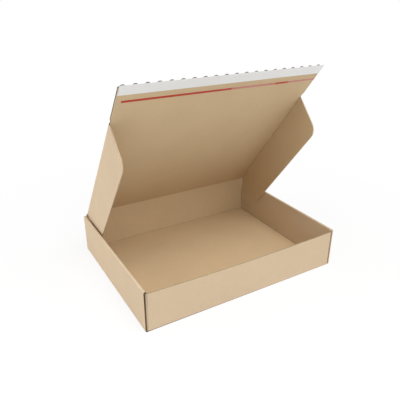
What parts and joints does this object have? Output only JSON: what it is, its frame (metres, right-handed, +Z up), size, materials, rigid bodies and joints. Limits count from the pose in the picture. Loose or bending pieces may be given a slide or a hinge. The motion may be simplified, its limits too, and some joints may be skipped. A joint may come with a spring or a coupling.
{
  "type": "shipping box",
  "caption": "Brown corrugated mailing box standing open: tray with rolled side walls, hinged lid with tucked side ears, and a closing flap with release strip and red tear tape.",
  "frame": {"origin": "centre of the tray's floor, on the surface that the box stands on", "axes": "+X to the box's right along its long side, +Y from the front wall to the hinged rear wall, +Z up"},
  "size_m": [0.35, 0.2612, 0.3327],
  "materials": {
    "kraft_board": "matte brown kraft",
    "adhesive": "clear tacky film",
    "release_paper": "smooth white, slight sheen",
    "tear_tape": "glossy red film"
  },
  "bodies": {
    "tray": {"tray": "kraft_board"},
    "lid": {"lid_panel": "kraft_board"},
    "left_ear": {"left_ear": "kraft_board"},
    "right_ear": {"right_ear": "kraft_board"},
    "closing_flap": {"closing_flap": "kraft_board", "adhesive_strip": "adhesive", "release_strip": "release_paper", "tear_tape": "tear_tape"}
  },
  "joints": [
    {"name": "lid_hinge", "type": "hinge", "parent": "tray", "child": "lid", "pos_m": [0, 0.1298, 0.072], "axis": [-1, 0, 0], "range_deg": [-52.1, 127.9]},
    {"name": "left_ear_fold", "type": "hinge", "parent": "lid", "child": "left_ear", "pos_m": [-0.1666, 0.12917, 0.07151], "axis": [0, -0.6143, 0.7891], "range_deg": [0, 80]},
    {"name": "right_ear_fold", "type": "hinge", "parent": "lid", "child": "right_ear", "pos_m": [0.1666, 0.12917, 0.07151], "axis": [0, 0.6143, -0.7891], "range_deg": [0, 80]},
    {"name": "closing_flap_fold", "type": "hinge", "parent": "lid", "child": "closing_flap", "pos_m": [0, -0.03206, 0.27992], "axis": [1, 0, 0], "range_deg": [0, 90]}
  ]
}
